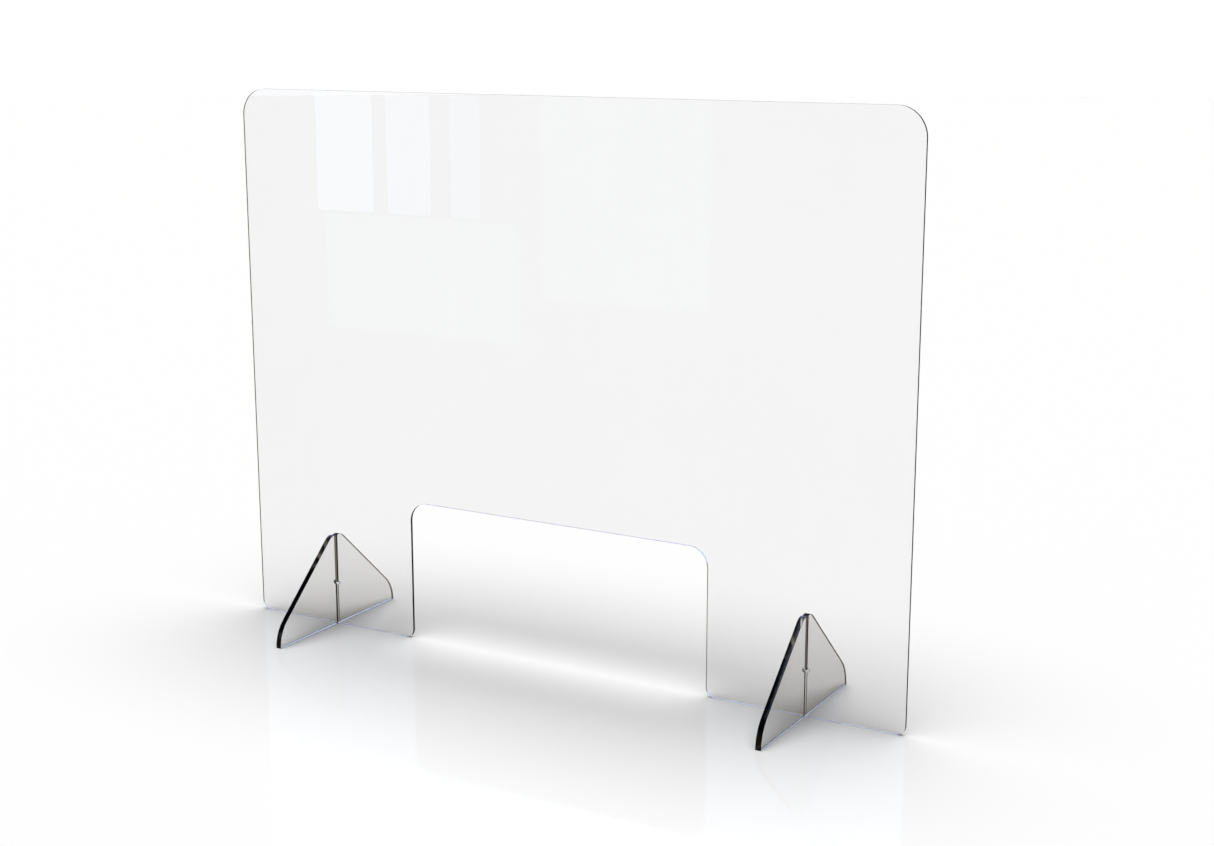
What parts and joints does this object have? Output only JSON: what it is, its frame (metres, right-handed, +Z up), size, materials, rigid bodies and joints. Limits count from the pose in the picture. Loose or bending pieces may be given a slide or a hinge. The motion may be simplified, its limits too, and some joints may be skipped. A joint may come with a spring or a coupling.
{
  "type": "sneeze guard",
  "caption": "Free-standing clear countertop sneeze guard: an upright sheet with a pass-through opening, slotted onto A-shaped feet by cross-lap joints.",
  "frame": {"origin": "bottom centre of the guard, on the counter, under the middle of the panel's sheet", "axes": "+X along the panel's width, to the right seen from the front; -Y is the front; +Z up"},
  "size_m": [0.7746, 0.2032, 0.5842],
  "materials": {
    "panel_acrylic": "polished",
    "foot_acrylic": "polished"
  },
  "bodies": {
    "left_foot": {"left_foot": "foot_acrylic"},
    "panel": {"panel": "panel_acrylic"},
    "right_foot": {"right_foot": "foot_acrylic"}
  },
  "joints": [
    {"name": "panel_lift", "type": "slide", "parent": "left_foot", "child": "panel", "axis": [0, 0, 1], "range_m": [0, 0.055]},
    {"name": "right_foot_release", "type": "slide", "parent": "panel", "child": "right_foot", "axis": [0, 0, -1], "range_m": [0, 0.055]}
  ],
  "couplings": [
    {"joint": "right_foot_release", "follows": "panel_lift", "ratio": 1}
  ]
}
